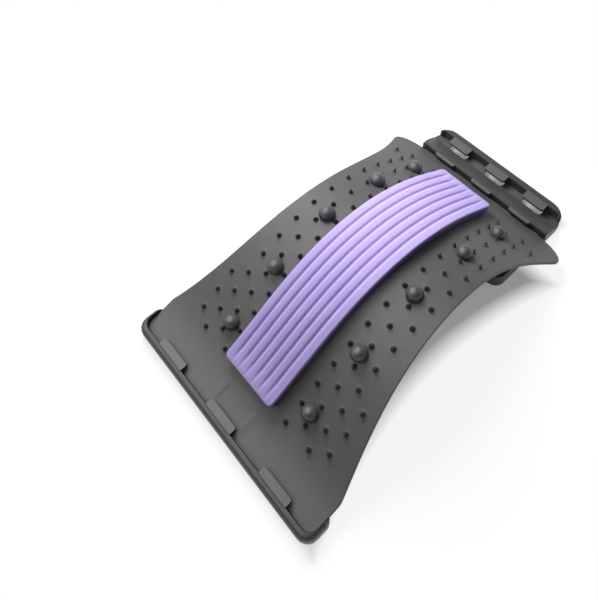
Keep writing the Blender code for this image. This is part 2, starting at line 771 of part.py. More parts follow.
def build_base():
    bm = bmesh.new()
    waist = mirrored([(NEAR_X + NEAR_DEPTH / 2, -WAIST_WIDTH / 2, WAIST_CORNER),
                      (FAR_X - FAR_DEPTH + OUTER_WALL, -WAIST_WIDTH / 2, WAIST_CORNER)])
    board(bm, waist, waist, WAIST_TOP, EDGE_ROUND)
    base = add("base_board", bm, parts)
    bm = bmesh.new()
    board(bm, near_corners(), near_corners(), BLOCK_TOP, NEAR_ROUND)
    boolean(base, add("base_near_block", bm, cutters), "UNION")
    bm = bmesh.new()
    board(bm, far_corners(0), far_corners(FAR_DRAFT), BLOCK_TOP, EDGE_ROUND)
    boolean(base, add("base_far_block", bm, cutters), "UNION")
    for cutter in (*cut_shelf(), *cut_trenches()):
        boolean(base, cutter, "DIFFERENCE")
    boolean(base, add_hooks(), "UNION")
    under = -SKIN
    for cutter in (near_pockets(under), waist_pockets(under), far_pockets(under), cut_windows()):
        boolean(base, cutter, "DIFFERENCE")
    return base


clear_scene()
parts = bpy.data.collections.new("lumbar_back_stretcher")
cutters = bpy.data.collections.new("cutters")
for collection in (parts, cutters):
    bpy.context.scene.collection.children.link(collection)
cutters.hide_render = True

build_base().data.materials.append(material("base_board", BLACK, 0.42))
build_arch().data.materials.append(material("arch_board", BLACK, 0.40))
foam, tape = build_pad()
foam.data.materials.append(material("foam_pad", (0.58, 0.50, 0.86, 1), 0.85))
tape.data.materials.append(material("pad_tape", (0.80, 0.79, 0.74, 1), 0.70))
creased = smooth_below_angle()
for bead_name, along, across in bead_places():
    bead = build_bead(bead_name, along, across)
    bead.data.materials.append(material(bead.name, (0.02, 0.02, 0.023, 1), 0.12, 0.3))
    clip = build_clip(bead_name, along, across)
    clip.data.materials.append(material(clip.name, (0.55, 0.56, 0.58, 1), 0.35, 1.0))
for part in parts.objects:
    part.modifiers.new("creased", "NODES").node_group = creased
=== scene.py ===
"""Looks of the lumbar back stretcher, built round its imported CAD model.

The base board and the clips are CAD nodes with finished materials. The arch board, the
foam pad, its tape and the ten beads are finer pieces that stand where their CAD nodes do.
Metres, +Z up, in the frame of the CAD.
"""

import math

import bmesh
import bpy
import numpy as np
from mathutils import Matrix, Vector, noise
from mathutils.geometry import delaunay_2d_cdt


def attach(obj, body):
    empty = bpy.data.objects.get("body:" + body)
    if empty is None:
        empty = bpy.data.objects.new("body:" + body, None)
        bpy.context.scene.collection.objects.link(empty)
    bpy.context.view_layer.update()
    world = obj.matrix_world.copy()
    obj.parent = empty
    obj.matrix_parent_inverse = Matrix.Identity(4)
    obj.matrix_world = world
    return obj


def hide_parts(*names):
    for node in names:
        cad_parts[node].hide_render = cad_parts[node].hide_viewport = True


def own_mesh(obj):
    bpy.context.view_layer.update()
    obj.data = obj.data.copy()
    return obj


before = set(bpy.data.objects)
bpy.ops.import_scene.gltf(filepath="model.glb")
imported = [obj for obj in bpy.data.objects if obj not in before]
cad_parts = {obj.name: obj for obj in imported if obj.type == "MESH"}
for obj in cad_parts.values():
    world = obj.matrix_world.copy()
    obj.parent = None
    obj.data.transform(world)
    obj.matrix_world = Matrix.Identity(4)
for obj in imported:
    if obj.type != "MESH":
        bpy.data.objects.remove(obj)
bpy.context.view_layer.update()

# Where the arch sheet lies, as in the CAD: the base's near end, rim and shelf, the wall of the row
# in use, and the gaps at the sheet's ends and under it
NEAR_X = -0.20325
NEAR_RIM = 0.0070
SHELF_TOP = 0.0062
ROW_WALL = 0.16465
END_CLEARANCE = 0.0005
CONTACT = 0.0003

# The sheet on the flat, as in the CAD: hourglass sides, ears and a tongue at its far end
SHEET_LENGTH = 0.399
SHEET_THICK = 0.0030
NEAR_WIDTH = 0.242
WAIST_WIDTH = 0.172
EAR_WIDTH = 0.220
TONGUE_WIDTH = 0.156
NEAR_STRAIGHT = 0.036
WAIST_AT = 0.245
EAR_AT = 0.376
EAR_CURVE = 2.3
TONGUE = 0.002
EAR_CORNER = 0.018
EAR_LAST_ANGLE = 8
NEAR_CORNER = 0.009
# Its slopes in degrees at even steps, which are scaled within limits until it spans its gap
SLOPES = (6, 28, 32, 24, 5, -16, -30, -35, -27)
SLOPE_SCALES = (0.2, 2.5)
SCALE_TRIES = 50
STATIONS = 801
# Radii of the tongue's corners and of the sheet's upper and lower edge
TONGUE_OUTER = 0.0014
TONGUE_INNER = 0.0005
TOP_EDGE = 0.0008
LOWER_EDGE = 0.0005
# Raised panel by the middle hook: its start, end and half width, then corners, slope and height
PANEL_BOX = (0.004, 0.034, 0.020)
PANEL_CORNER = 0.0020
PANEL_SLOPE = 0.0006
PANEL_RISE = 0.00011
# How finely the sheet is drawn: steps along its side, and the pitch of each face's points
SIDE_START = 0.005
SIDE_STEP = 0.004
UPPER_PITCH = 0.005
LOWER_PITCH = 0.010
# What those points keep clear of: the edge, its flat border, and a place on the panel's slope with
# the distance kept from it
EDGE_CLEAR = 0.004
EDGE_FLAT = 0.0005
PANEL_GAP = (0.0003, 0.0012)

# Spikes and beads on the flat sheet, as in the CAD
SPIKE_PITCH = 0.0226
COLUMN_PITCH = 0.0150
FIRST_COLUMN = 0.0438
SPIKE_COLUMNS = 4
SPIKE_STEPS = 15
PATTERN_SHIFT = 0.0040
OUTER_SPIKES = (1.5, 2.5, 3.5, 14.5)
BEAD_STATIONS = (2, 5, 8, 11, 14)
BEAD_COLUMN = 0.0550
BEAD_RADIUS = 0.0080
BEAD_RISE = 0.0015
SHANK_RADIUS = 0.0035
SHANK_END = 0.0040
HOLE_RADIUS = 0.0038
# A spike's rings as (radius, height) from its tip down to the fillet round its foot
SPIKE_PROFILE = (
    (0.00014, 0.00474), (0.00032, 0.00452), (0.00056, 0.00408), (0.00086, 0.00346),
    (0.00116, 0.00284), (0.00146, 0.00224), (0.00176, 0.00166), (0.00206, 0.00110),
    (0.00236, 0.00058), (0.00264, 0.00022), (0.00300, 0.00006), (0.00340, 0.00000),
)
SPIKE_TIP = 0.00480
SPIKE_SIDES = 22
HOLE_SIDES = 24
BEAD_SIDES = 40
BEAD_STEPS = 21
# A bead's foot: where its ball ends above its seat, two bevels, and the shank's flare and bevel
BEAD_LIFT = 0.0004
BEAD_FOOT = (0.00015, 0.0005)
SHANK_FLARE = (0.0004, 0.0002)
SHANK_EDGE = 0.0006

# Foam pad and its tape
PAD_WIDTH = 0.0640
PAD_THICK = 0.0100
PAD_START = 0.0450
PAD_END = 0.3650
PAD_OFFSET = 0.0040
PAD_RIBS = 7
PAD_CORNER = 0.0050
PAD_EDGE = 0.0011
PAD_LOWER_EDGE = 0.0006
GROOVE_DEPTH = 0.0012
GROOVE_WIDTH = 0.0014
# Distances from the pad's ends over which its grooves begin
GROOVE_FADE = (0.0010, 0.0180)
RIB_CROWN = 0.00025
# Drop at the pad's ends and the distance over which it dies away
END_DROP = (0.0006, 0.003)
# Distances from the pad's edge that carry its rounding, then its even pitch and points between
FROM_EDGE = (0, 0.00004, 0.00012, 0.00026, 0.00046, 0.00072, 0.00104, 0.0015, 0.0021)
PAD_PITCH = 0.0025
PAD_ACROSS = 121
# Shares of the wall's height where it has points, and of the lower edge's bevel
WALL_SHARES = (0.72, 0.42)
LOWER_ROUND = 0.3
# The cut foam's unevenness: waves to a metre along or across and upwards, depth, width of its rim
SHAKE_WAVES = (45, 90)
SHAKE = 0.00018
SHAKEN_RIM = 0.001
TAPE_THICK = 0.0008
TAPE_INSET = 0.0040
TAPE_STEPS = 80

# Moulded plastic: from where to where the painted highlight on edges, the painted shade in hollows
# and on spikes and the painted sheen on hook tops change, and their greys
EDGE_POINTED = (0.515, 0.60)
HOLLOW_POINTED = (0.42, 0.49)
SPIKE_SHADE = (0.0001, 0.0009)
HOOK_TOPS = (0.0169, 0.0172)
EDGE_HIGHLIGHT_GREY = (0.130, 0.130, 0.129)
HOLLOW_SHADE_GREY = (0.030, 0.030, 0.030)
SPIKE_SHADE_GREY = (0.012, 0.012, 0.012)
HOOK_SHEEN_GREY = (0.120, 0.120, 0.119)

# Foam: from where to where painted shade darkens grooves and walls, and its lilacs
GROOVE_POINTED = (0.44, 0.50)
PAD_WALL = (0.0080, 0.0103)
FOAM_LILACS = ((0.500, 0.405, 0.850), (0.560, 0.455, 0.890))
CELL_LILAC = (0.620, 0.510, 0.920)
GROOVE_SHADE_LILAC = (0.330, 0.250, 0.640)
WALL_SHADE_LILAC = (0.100, 0.078, 0.240)

# The two colours of each other surface, mixed by noise
BEAD_GREYS = ((0.074, 0.074, 0.075), (0.088, 0.088, 0.089))
PLATE_GREYS = ((0.42, 0.43, 0.44), (0.60, 0.61, 0.62))
TAPE_WHITES = ((0.70, 0.69, 0.63), (0.80, 0.79, 0.74))
PAPER_WHITES = ((0.94, 0.94, 0.93), (0.96, 0.96, 0.95))

# Studio: where the lamps turn to, watts a square metre at a brightness of 1, the world and the
# lamps, each with its name, direction, distance, width, height, brightness and what it lights
LIT = (0.03, 0, 0.08)
WATTS = 4
WORLD_LEVEL = 0.16
LAMPS = (
    ("box_left", (-0.20, 0.46, 0.86), 1.20, 1.8, 1.4, 2.15, "shine"),
    ("key", (0.18, 0.65, 0.73), 0.52, 0.30, 0.30, 12.0, "colour"),
    ("lamp_small", (-0.10, 0.45, 0.89), 1.9, 0.10, 0, 20, "both"),
)

# Paper: its level, each ring's radius and height, how bright it shows, and how dark its painted
# shade in the windows is
FLOOR_Z = -0.0003
COVE = ((1.0, 0), (2.6, 0), (3.0, 0.08), (3.4, 0.32), (3.7, 0.72), (3.8, 1.2))
COVE_SIDES = 96
SEEN_FLOOR = 1.8
SHADED_PAPER = (0.40, 0.40, 0.40)
# Plans of the arch and the far block: their ends, the arch's waist and half width there, how it
# widens to both sides of it, and the block's half width
ARCH_PLAN = (-0.198, 0.130)
ARCH_WAIST = (-0.020, 0.088)
ARCH_SPREAD = 1.15
BLOCK_PLAN = (0.120, 0.203, 0.078)
# Distances past a plan's edge over which the paper turns white and the shares there, where the
# painted shade in the block's windows ends, and the distances from the middle over which all turns
# white
WHITE_FROM = (-0.010, 0.010)
WHITE_SHARE = (0.22, 0.88)
UNDER_BLOCK = (-0.012, -0.006)
ALL_WHITE = (0.20, 0.30)

# Camera: the photo's size, the height where the axis meets it and the focal length, in pixels
PHOTO = (598, 600)
AXIS_AT = 150
FOCAL = 638.4
SENSOR = 36
CAMERA_AT = (-0.2173, -0.1833, 0.6047)
CAMERA_RIGHT = (0.75078, -0.65820, -0.05570)
CAMERA_UP = (0.55040, 0.57672, 0.60370)
CAMERA_BACK = (-0.36523, -0.48390, 0.79526)


def slope_at(u):
    """The sheet's slope at a share u of its length, as a smooth curve through SLOPES."""
    at = min(max(u, 0), 1) * (len(SLOPES) - 1)
    i = min(int(at), len(SLOPES) - 2)
    t = at - i
    a, b, c, d = (SLOPES[min(max(i + k, 0), len(SLOPES) - 1)] for k in (-1, 0, 1, 2))
    bend = 2 * b + (c - a) * t + (2 * a - 5 * b + 4 * c - d) * t**2
    return math.radians((bend + (3 * b - 3 * c + d - a) * t**3) / 2)


def bent_sheet():
    """Where the middle of the sheet's thickness runs: (s, x, z, slope) arrays, as in the CAD."""
    s = np.linspace(0, SHEET_LENGTH, STATIONS)
    slopes = np.array([slope_at(v) for v in s / SHEET_LENGTH])
    end_lean = SHEET_THICK / 2 * math.sin(math.radians(-SLOPES[-1]))
    start = NEAR_X + NEAR_RIM + END_CLEARANCE
    span = ROW_WALL - END_CLEARANCE - end_lean - start

    def walk(theta):
        middle = (theta[1:] + theta[:-1]) / 2
        step = s[1] - s[0]
        x = np.concatenate([[0], np.cumsum(np.cos(middle) * step)])
        z = np.concatenate([[0], np.cumsum(np.sin(middle) * step)])
        return x, z

    low, high = SLOPE_SCALES
    for _ in range(SCALE_TRIES):
        scale = (low + high) / 2
        theta = slopes * scale
        x, z = walk(theta)
        theta = theta - math.atan2(z[-1], x[-1])
        x, z = walk(theta)
        low, high = (scale, high) if x[-1] > span else (low, scale)
    return s, x + start, z + (SHELF_TOP + CONTACT) + SHEET_THICK / 2, theta


SHEET = bent_sheet()


def on_sheet(points):
    """Bends flat points (s, y, n) onto the arch: s along it, y across, n above its middle."""
    s, y, n = np.array(points, float).T
    x, z, slope = (np.interp(s, SHEET[0], SHEET[k]) for k in (1, 2, 3))
    return np.column_stack((x - np.sin(slope) * n, y, z + np.cos(slope) * n))


def stand_on_sheet(s, y):
    """A matrix at the middle of the sheet, its Z along the sheet's normal."""
    slope = np.interp(s, SHEET[0], SHEET[3])
    at = on_sheet([(s, y, 0)])[0]
    return Matrix.Translation(at) @ Matrix.Rotation(-slope, 4, "Y")


def half_width(s):
    """Half the sheet's width along its hourglass sides."""
    near, waist, ear = NEAR_WIDTH / 2, WAIST_WIDTH / 2, EAR_WIDTH / 2
    if s <= WAIST_AT:
        t = (s - NEAR_STRAIGHT) / (WAIST_AT - NEAR_STRAIGHT)
        return waist + (near - waist) * (1 - max(t, 0)) ** 2
    t = (s - WAIST_AT) / (EAR_AT - WAIST_AT)
    return waist + (ear - waist) * min(t, 1) ** EAR_CURVE


def arc(centre, radius, start, end, steps):
    """Points on an arc or a part of an ellipse, angles in degrees."""
    rx, ry = radius if isinstance(radius, tuple) else (radius, radius)
    angles = np.radians(np.linspace(start, end, steps + 1))
    return [(centre[0] + rx * math.cos(a), centre[1] + ry * math.sin(a)) for a in angles]


def sheet_outline():
    """The sheet's outline on the flat, anticlockwise."""
    near, tongue = half_width(0), TONGUE_WIDTH / 2
    ear_start = SHEET_LENGTH - TONGUE - EAR_CORNER
    side = arc((NEAR_CORNER, near - NEAR_CORNER), NEAR_CORNER, 180, 90, 7)
    along = np.arange(NEAR_CORNER + SIDE_START, ear_start, SIDE_STEP)
    side += [(s, half_width(s)) for s in along]
    ear = EAR_WIDTH / 2 - tongue
    side += arc((ear_start, tongue), (EAR_CORNER, ear), 90, EAR_LAST_ANGLE, 12)
    inner, outer = TONGUE_INNER, TONGUE_OUTER
    wall = SHEET_LENGTH - TONGUE
    side += arc((wall + inner, tongue + inner), inner, 180, 270, 4)
    side += arc((SHEET_LENGTH - outer, tongue - outer), outer, 90, 0, 4)
    return np.array([(s, -y) for s, y in side] + side[::-1])


def inset(loop, distance):
    """An anticlockwise loop moved inwards."""
    ahead = np.roll(loop, -1, 0) - loop
    ahead /= np.linalg.norm(ahead, axis=1)[:, None]
    normal = np.column_stack((-ahead[:, 1], ahead[:, 0]))
    both = normal + np.roll(normal, 1, 0)
    both /= (both**2).sum(1)[:, None] / 2
    return loop + both * distance


class Skin:
    """Points and faces gathered for one mesh."""

    def __init__(self):
        self.points, self.faces = [], []

    def add(self, points):
        """Adds points and gives their numbers."""
        first = len(self.points)
        self.points.extend(tuple(map(float, p)) for p in points)
        return list(range(first, len(self.points)))

    def strip(self, one, other):
        """Faces between two rings of as many points."""
        for i in range(len(one)):
            j = (i + 1) % len(one)
            self.faces.append((one[i], one[j], other[j], other[i]))

    def fan(self, ring, centre):
        """Triangles between a ring and one point."""
        for i in range(len(ring)):
            self.faces.append((ring[i], ring[(i + 1) % len(ring)], centre))

    def grow(self, last, ring):
        """Joins a ring to the last ring or point and gives it. A first ring is closed instead."""
        if not last:
            self.faces.append(ring)
        elif len(last) == 1:
            self.fan(ring, last[0])
        else:
            self.strip(last, ring)
        return ring

    def fill(self, loops, extra, holes):
        """Triangles inside the first loop, through all loops and extra points but not in holes."""
        index = [i for loop in loops for i in loop] + extra
        edges, first = [], 0
        for loop in loops:
            count = len(loop)
            edges += [(first + i, first + (i + 1) % count) for i in range(count)]
            first += count
        flat = [Vector(self.points[i][:2]) for i in index]
        made = delaunay_2d_cdt(flat, edges, [], 1, 1e-7)
        at = np.array(made[0])
        for triangle in made[2]:
            middle = at[list(triangle)].mean(0)
            if all(np.hypot(*(middle - centre)) > radius * 0.99 for centre, radius in holes):
                self.faces.append([index[made[3][v][0]] for v in triangle])

    def object(self, name, bend=True):
        """The mesh object. One that is bent onto the sheet keeps each point's height above it."""
        points = on_sheet(self.points) if bend else self.points
        mesh = bpy.data.meshes.new(name)
        mesh.from_pydata([tuple(p) for p in points], [], self.faces)
        bm = bmesh.new()
        bm.from_mesh(mesh)
        bmesh.ops.recalc_face_normals(bm, faces=bm.faces)
        bm.to_mesh(mesh)
        bm.free()
        mesh.shade_smooth()
        if bend:
            above = mesh.attributes.new("above", "FLOAT", "POINT")
            above.data.foreach_set("value", [p[2] - SHEET_THICK / 2 for p in self.points])
        made = bpy.data.objects.new(name, mesh)
        bpy.context.scene.collection.objects.link(made)
        return made


def step_place(step):
    """Where a step of the pattern lies along the sheet."""
    return SHEET_LENGTH / 2 + PATTERN_SHIFT + (step - (SPIKE_STEPS + 1) / 2) * SPIKE_PITCH


def spike_places():
    """(s, y) of each spike: three full columns on each side, then a short outer one."""
    for column in range(SPIKE_COLUMNS):
        if column == SPIKE_COLUMNS - 1:
            steps = OUTER_SPIKES
        else:
            steps = [1 + k + column % 2 / 2 for k in range(SPIKE_STEPS - column % 2)]
        for step in steps:
            for side in (-1, 1):
                yield step_place(step), side * (FIRST_COLUMN + column * COLUMN_PITCH)


def bead_places():
    """(row, side, s, y) of each bead."""
    for number, step in enumerate(BEAD_STATIONS, 1):
        for side, y in (("left", BEAD_COLUMN), ("right", -BEAD_COLUMN)):
            yield number, side, step_place(step), y


def ring_round(s, y, radius, count):
    """Points of a circle."""
    return [(s + radius * math.cos(a), y + radius * math.sin(a))
            for a in np.linspace(0, 2 * math.pi, count, endpoint=False)]


def box_distance(s, y, middle, half_length, half_wide, corner):
    """How far inside a rounded rectangle a point lies. It is below 0 outside."""
    a = np.abs(s - middle) - (half_length - corner)
    b = np.abs(y) - (half_wide - corner)
    out = np.hypot(np.maximum(a, 0), np.maximum(b, 0)) + np.minimum(np.maximum(a, b), 0)
    return corner - out


def edge_profile(half):
    """The sheet's rounded edge from top to bottom, as (distance inwards, height)."""
    profile = [(TOP_EDGE + EDGE_FLAT, half)]
    for a in np.radians(np.linspace(90, 0, 5)):
        profile.append((TOP_EDGE * (1 - math.cos(a)), half - TOP_EDGE * (1 - math.sin(a))))
    for a in np.radians(np.linspace(0, 90, 4)):
        profile.append((LOWER_EDGE * (1 - math.cos(a)), LOWER_EDGE * (1 - math.sin(a)) - half))
    profile.append((LOWER_EDGE + EDGE_FLAT, -half))
    return profile


def panel_outline():
    """The raised panel's outline on the flat, anticlockwise."""
    start, end, wide = PANEL_BOX
    a, b, c = start + PANEL_CORNER, end - PANEL_CORNER, wide - PANEL_CORNER
    corners = []
    for quarter, centre in enumerate(((b, c), (a, c), (a, -c), (b, -c))):
        corners += arc(centre, PANEL_CORNER, 90 * quarter, 90 * quarter + 90, 5)
    return np.array(corners)


def spread_points(pitch, holes):
    """Points all over the sheet that keep clear of its edge and of every hole in it."""
    found = []
    for row, s in enumerate(np.arange(EDGE_CLEAR, SHEET_LENGTH - EDGE_CLEAR, pitch)):
        past = max(0, s - (SHEET_LENGTH - TONGUE - EAR_CORNER - EDGE_CLEAR))
        edge = half_width(s) - EDGE_CLEAR - max(0, NEAR_CORNER - s)
        edge = min(edge, EAR_WIDTH / 2 - EDGE_CLEAR - past) if past else edge
        edge = min(edge, TONGUE_WIDTH / 2) if past > EAR_CORNER - EDGE_CLEAR else edge
        count = int(2 * edge / pitch)
        for y in np.linspace(-edge, edge, count + row % 2):
            if all(np.hypot(s - c[0], y - c[1]) > r + pitch / 3 for c, r in holes):
                found.append((s, y))
    return found


def build_arch():
    """The sheet with its rounded edge, spikes, bead holes and raised panel."""
    skin = Skin()
    half = SHEET_THICK / 2
    outline = sheet_outline()
    rings = [skin.add([(s, y, n) for s, y in inset(outline, d)]) for d, n in edge_profile(half)]
    for one, other in zip(rings, rings[1:]):
        skin.strip(one, other)

    spikes, loops = [], []
    for s, y in spike_places():
        last = skin.add([(s, y, half + SPIKE_TIP)])
        for radius, height in SPIKE_PROFILE:
            around = ring_round(s, y, radius, SPIKE_SIDES)
            last = skin.grow(last, skin.add([(a, b, half + height) for a, b in around]))
        spikes.append((np.array((s, y)), SPIKE_PROFILE[-1][0]))
        loops.append(last)
    bead_holes, upper, lower = [], [], []
    for _, _, s, y in bead_places():
        flat = ring_round(s, y, HOLE_RADIUS, HOLE_SIDES)
        upper.append(skin.add([(a, b, half) for a, b in flat]))
        lower.append(skin.add([(a, b, -half) for a, b in flat]))
        skin.strip(upper[-1], lower[-1])
        bead_holes.append((np.array((s, y)), HOLE_RADIUS))

    panel = panel_outline()
    rim = skin.add([(s, y, half) for s, y in panel])
    crown = skin.add([(s, y, half + PANEL_RISE) for s, y in inset(panel, PANEL_SLOPE)])
    start, end, wide = PANEL_BOX
    extra = []
    for s, y in spread_points(UPPER_PITCH, spikes + bead_holes):
        inside = box_distance(s, y, (start + end) / 2, (end - start) / 2, wide, PANEL_CORNER)
        if abs(inside - PANEL_GAP[0]) > PANEL_GAP[1]:
            extra.append((s, y, half + (PANEL_RISE if inside > 0 else 0)))
    skin.fill([rings[0], *loops, *upper, rim, crown], skin.add(extra), spikes + bead_holes)
    below = skin.add([(s, y, -half) for s, y in spread_points(LOWER_PITCH, bead_holes)])
    skin.fill([rings[-1], *lower], below, bead_holes)
    return skin.object("arch_board_moulded")


def from_edge(end, pitch):
    """Distances from an edge: close together at it, then even up to end."""
    last = FROM_EDGE[-1]
    return list(FROM_EDGE) + list(np.linspace(last, end, int(end / pitch))[1:])


def pad_top(s, y):
    """Height of the pad's upper face: seven ribs with grooves between, rounded at its edges."""
    middle, long = (PAD_START + PAD_END) / 2, (PAD_END - PAD_START) / 2
    inside = box_distance(s, y, middle, long, PAD_WIDTH / 2, PAD_CORNER)
    inside = np.clip(inside, 0, PAD_EDGE)
    drop = PAD_EDGE - np.sqrt(np.maximum(PAD_EDGE**2 - (PAD_EDGE - inside) ** 2, 0))
    across = (y / PAD_WIDTH + 0.5) * PAD_RIBS
    away = np.abs(across - np.round(across)) * PAD_WIDTH / PAD_RIBS
    ends = np.minimum(s - PAD_START, PAD_END - s)
    fade = np.clip((ends - GROOVE_FADE[0]) / (GROOVE_FADE[1] - GROOVE_FADE[0]), 0, 1)
    inner = np.abs(across - PAD_RIBS / 2) < PAD_RIBS / 2 - 0.5
    groove = fade * np.exp(-((away / GROOVE_WIDTH) ** 2)) * inner
    rib = fade * (2 * (across - np.floor(across)) - 1) ** 2
    soft = END_DROP[0] * np.exp(-ends / END_DROP[1])
    return PAD_THICK - drop - GROOVE_DEPTH * groove - RIB_CROWN * rib - soft


def pad_section(s):
    """The pad's outline across at s as (y, height), open below, and its half width there."""
    end = min(s - PAD_START, PAD_END - s)
    wide = PAD_WIDTH / 2
    if end < PAD_CORNER:
        wide += math.sqrt(PAD_CORNER**2 - (PAD_CORNER - end) ** 2) - PAD_CORNER
    y = [wide - d for d in FROM_EDGE]
    y += list(np.linspace(wide - FROM_EDGE[-1], FROM_EDGE[-1] - wide, PAD_ACROSS))
    y += [d - wide for d in reversed(FROM_EDGE)]
    top = pad_top(s, np.array(y))
    lower = PAD_LOWER_EDGE
    wall = [(0, top[0] * share) for share in WALL_SHARES]
    wall += [(0, lower), (lower * LOWER_ROUND, lower * LOWER_ROUND), (lower, 0)]
    section = [(wide - d, h) for d, h in reversed(wall)] + list(zip(y, top))
    section += [(d - wide, h) for d, h in wall]
    return section, wide


def build_pad():
    """The ribbed pad, a little uneven as cut foam is."""
    skin = Skin()
    lengthwise = from_edge((PAD_START + PAD_END) / 2 - PAD_START, PAD_PITCH)
    stations = [PAD_START + d for d in lengthwise] + [PAD_END - d for d in lengthwise[-2::-1]]
    base = SHEET_THICK / 2 + TAPE_THICK + 2 * CONTACT
    across, upward = SHAKE_WAVES
    last = None
    for s in stations:
        section, wide = pad_section(s)
        ring = []
        for a, h in section:
            shake = noise.noise((s * across, a * across, h * upward)) * SHAKE
            out = math.copysign(shake, a) if abs(a) > wide - SHAKEN_RIM else 0
            ring.append((s, PAD_OFFSET + a + out, base + h + shake * min(1, h / PAD_THICK)))
        last = skin.grow(last, skin.add(ring))
    skin.faces.append(last)
    pad = skin.object("foam_pad_ribbed")
    for face in pad.data.polygons:
        face.use_smooth = len(face.vertices) == 4
    return pad


def build_tape():
    """The double-sided tape under the pad."""
    skin = Skin()
    low = SHEET_THICK / 2 + CONTACT
    wide = PAD_WIDTH / 2 - TAPE_INSET
    edge = TAPE_THICK / 4
    section = [(edge - wide, 0), (wide - edge, 0), (wide, edge), (wide, TAPE_THICK - edge),
               (wide - edge, TAPE_THICK), (edge - wide, TAPE_THICK), (-wide, TAPE_THICK - edge),
               (-wide, edge)]
    last = None
    for s in np.linspace(PAD_START + TAPE_INSET, PAD_END - TAPE_INSET, TAPE_STEPS):
        last = skin.grow(last, skin.add([(s, PAD_OFFSET + y, low + h) for y, h in section]))
    skin.faces.append(last)
    tape = skin.object("pad_tape_strip")
    for face in tape.data.polygons:
        face.use_smooth = False
    return tape


def turned(name, profile, sides, place):
    """A closed piece turned about Z, from its top point to its lowest, set at place."""
    skin = Skin()
    last = skin.add([(0, 0, profile[0][1])])
    for radius, z in profile[1:-1]:
        last = skin.grow(last, skin.add([(a, b, z) for a, b in ring_round(0, 0, radius, sides)]))
    skin.fan(last, skin.add([(0, 0, profile[-1][1])])[0])
    skin.points = [tuple(place @ Vector(p)) for p in skin.points]
    return skin.object(name, bend=False)


def build_bead(number, side, s, y):
    """A bead that stands on the sheet, with its shank through the hole."""
    seat = SHEET_THICK / 2 + CONTACT
    centre = seat + BEAD_RISE
    low = -math.asin((BEAD_RISE - BEAD_LIFT) / BEAD_RADIUS)
    profile = [(0, centre + BEAD_RADIUS)]
    for angle in np.linspace(math.pi / 2, low, BEAD_STEPS + 1)[1:]:
        profile.append((BEAD_RADIUS * math.cos(angle), centre + BEAD_RADIUS * math.sin(angle)))
    rim, (small, large), (out, down) = profile[-1][0], BEAD_FOOT, SHANK_FLARE
    profile += [(rim - small, seat + small), (rim - large, seat)]
    profile += [(SHANK_RADIUS + out, seat), (SHANK_RADIUS, seat - down)]
    end = -SHEET_THICK / 2 - SHANK_END
    profile += [(SHANK_RADIUS, end + SHANK_EDGE), (SHANK_RADIUS - SHANK_EDGE, end), (0, end)]
    name = f"magnet_bead_{number}_{side}"
    bead = turned(name + "_polished", profile, BEAD_SIDES, stand_on_sheet(s, y))
    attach(bead, f"bead_row_{number}")
    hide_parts(name)
    return bead


class Finish:
    """A material and the few nodes that every finish here shares."""

    def __init__(self, name):
        self.material = bpy.data.materials.new(name)
        self.material.use_nodes = True
        self.tree = self.material.node_tree
        self.shader = self.tree.nodes["Principled BSDF"]
        self.place = self.node("ShaderNodeTexCoord").outputs["Object"]

    def node(self, kind, **values):
        made = self.tree.nodes.new(kind)
        for name, value in values.items():
            setattr(made, name, value)
        return made

    def feed(self, node, values):
        """Sets inputs of a node, each to a number, a colour or the output of another node."""
        for key, value in values.items():
            if isinstance(value, tuple):
                node.inputs[key].default_value = (*value, 1)
            elif isinstance(value, (int, float)):
                node.inputs[key].default_value = value
            else:
                self.tree.links.new(value, node.inputs[key])

    def surface(self, values):
        """Sets inputs of the shader."""
        self.feed(self.shader, values)

    def noise(self, scale, detail=3.0, rough=0.5):
        """Cloudy noise, its scale in waves to a metre."""
        made = self.node("ShaderNodeTexNoise")
        self.feed(made, {"Vector": self.place, "Scale": scale})
        self.feed(made, {"Detail": detail, "Roughness": rough})
        return made.outputs["Fac"]

    def spread(self, value, low, high, to_low, to_high):
        """A value's range from low to high, spread over another range and held at its ends."""
        made = self.node("ShaderNodeMapRange")
        self.feed(made, {"Value": value, "From Min": low, "From Max": high})
        self.feed(made, {"To Min": to_low, "To Max": to_high})
        return made.outputs["Result"]

    def reckon(self, operation, one, other=0):
        """Two numbers or outputs added, multiplied or the like."""
        made = self.node("ShaderNodeMath", operation=operation)
        self.feed(made, {0: one, 1: other})
        return made.outputs["Value"]

    def blend(self, share, one, other):
        """A colour between two, by share. Each is a colour or the output of a node."""
        made = self.node("ShaderNodeMix", data_type="RGBA")
        self.feed(made, {0: share, 6: one, 7: other})
        return made.outputs[2]

    def pointed(self):
        """Above 0.5 on outer edges, below it in hollows."""
        return self.node("ShaderNodeNewGeometry").outputs["Pointiness"]

    def above(self):
        """Height over the sheet's upper face, for the pieces that are bent onto it."""
        return self.node("ShaderNodeAttribute", attribute_name="above").outputs["Fac"]

    def axes(self):
        """The place's three coordinates."""
        made = self.node("ShaderNodeSeparateXYZ")
        self.feed(made, {"Vector": self.place})
        return made.outputs

    def rough(self, value, low, high):
        """Roughness from low to high, over the range that noise mostly takes."""
        self.surface({"Roughness": self.spread(value, 0.3, 0.7, low, high)})

    def bump(self, *heights):
        """Chains bumps, each given as a height's output and its size in metres."""
        normal = None
        for height, distance in heights:
            made = self.node("ShaderNodeBump")
            self.feed(made, {"Strength": 1, "Distance": distance, "Height": height})
            if normal:
                self.feed(made, {"Normal": normal})
            normal = made.outputs["Normal"]
        self.surface({"Normal": normal})


